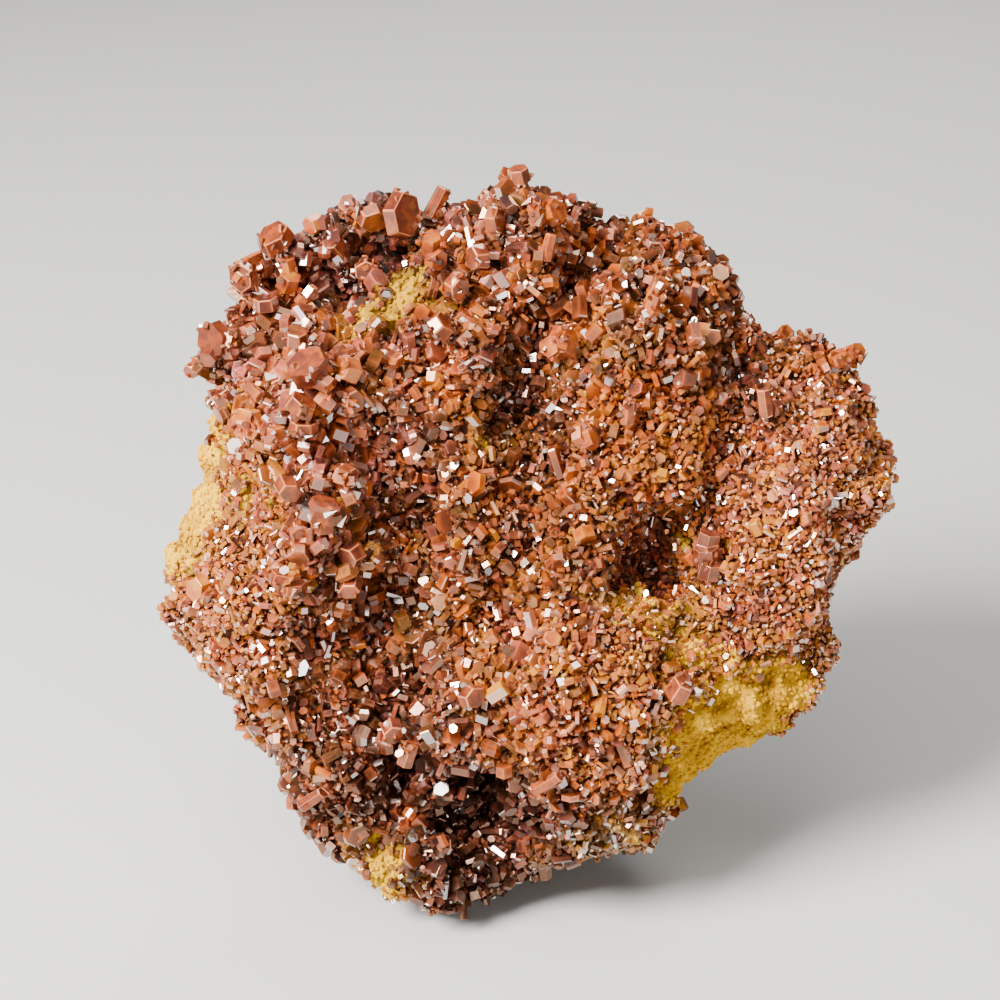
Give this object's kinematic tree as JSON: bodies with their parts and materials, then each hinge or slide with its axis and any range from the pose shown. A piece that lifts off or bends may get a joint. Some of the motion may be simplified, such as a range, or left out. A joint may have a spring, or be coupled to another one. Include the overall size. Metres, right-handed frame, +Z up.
{
  "type": "vanadinite on matrix",
  "caption": "Mineral specimen: a leaning chunk of ochre limonite whose front is covered with a glossy crust of red-orange hexagonal vanadinite crystals; stands on its own flat foot.",
  "frame": {"origin": "centre of the bounding box's footprint, on the surface that the foot stands on", "axes": "+Z up, +X to the right seen from the crystallised face, which is turned to -Y and leans back 25 degrees"},
  "size_m": [0.1466, 0.089, 0.1409],
  "materials": {
    "limonite": "matt, granular",
    "drusy_vanadinite": "glossy small crystals",
    "vanadinite": "glossy crystal faces"
  },
  "bodies": {
    "root": {"limonite_matrix": "limonite", "drusy_crust": "drusy_vanadinite", "bulge_drum": "vanadinite", "bulge_mirror": "vanadinite", "bulge_spike": "vanadinite", "crest_bar": "vanadinite", "crest_barrel": "vanadinite", "crest_fan": "vanadinite", "crest_flame": "vanadinite", "crest_heart": "vanadinite", "crest_hexagon": "vanadinite", "crest_lintel": "vanadinite", "crest_orange": "vanadinite", "crest_red": "vanadinite", "crest_spark": "vanadinite", "crest_stack": "vanadinite", "crest_tan_plate": "vanadinite", "dome_flame": "vanadinite", "dome_post": "vanadinite", "dome_stack": "vanadinite", "dome_string": "vanadinite", "flank_bars": "vanadinite", "flank_rosette": "vanadinite", "hollow_hexagon": "vanadinite", "knob_cap": "vanadinite", "knob_horn": "vanadinite", "knob_leg": "vanadinite", "knob_plank": "vanadinite", "knob_torch": "vanadinite", "ledge_bud": "vanadinite", "ledge_plank": "vanadinite", "ledge_wedge": "vanadinite", "lobe_fingers": "vanadinite", "lobe_horn": "vanadinite", "lobe_spool": "vanadinite", "rim_bar": "vanadinite", "rim_barrel": "vanadinite", "rim_block": "vanadinite", "rim_column": "vanadinite", "rim_crown": "vanadinite", "rim_glint": "vanadinite", "rim_plate": "vanadinite", "rim_shelf": "vanadinite", "rim_slab": "vanadinite", "rim_table": "vanadinite", "shoulder_bar": "vanadinite", "shoulder_block": "vanadinite", "shoulder_rosette": "vanadinite", "sill_hexagon": "vanadinite", "toe_lantern": "vanadinite", "toe_log": "vanadinite", "toe_pink": "vanadinite", "toe_rose": "vanadinite"}
  },
  "joints": []
}
